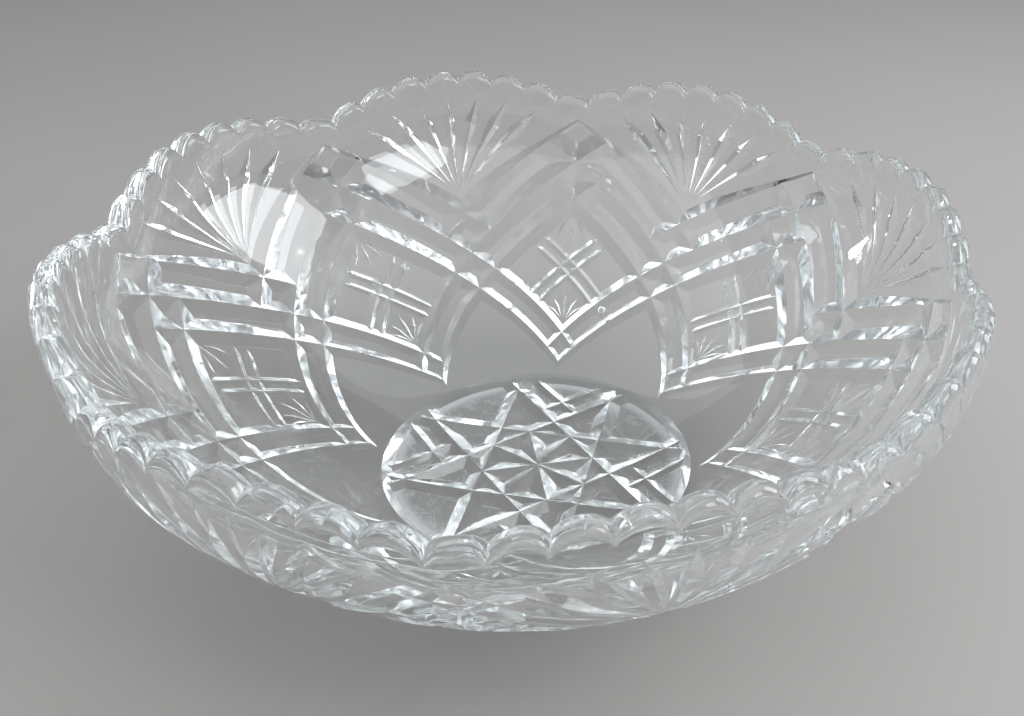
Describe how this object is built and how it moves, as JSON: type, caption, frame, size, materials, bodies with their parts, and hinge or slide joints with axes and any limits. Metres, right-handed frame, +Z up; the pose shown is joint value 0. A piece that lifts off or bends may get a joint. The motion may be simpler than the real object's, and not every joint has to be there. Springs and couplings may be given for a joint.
{
  "type": "trifle bowl",
  "caption": "Wide round bowl of clear pressed glass with a flat star-cut foot, a diamond-and-fan pattern outside and a scalloped rim, for serving trifle, fruit or salad.",
  "frame": {"origin": "centre of the flat under the foot, on the table", "axes": "+Z up along the bowl's axis, +X through the middle of a diamond"},
  "size_m": [0.2144, 0.2144, 0.0784],
  "materials": {
    "clear_glass": "clear pressed soda-lime glass, fire polished, with fine wear on the foot"
  },
  "bodies": {
    "root": {"base_medallion": "clear_glass", "wall_leaf_1": "clear_glass", "wall_leaf_2": "clear_glass", "wall_leaf_3": "clear_glass", "wall_leaf_4": "clear_glass", "rim_leaf_1": "clear_glass", "rim_leaf_2": "clear_glass", "rim_leaf_3": "clear_glass", "rim_leaf_4": "clear_glass"}
  },
  "joints": []
}
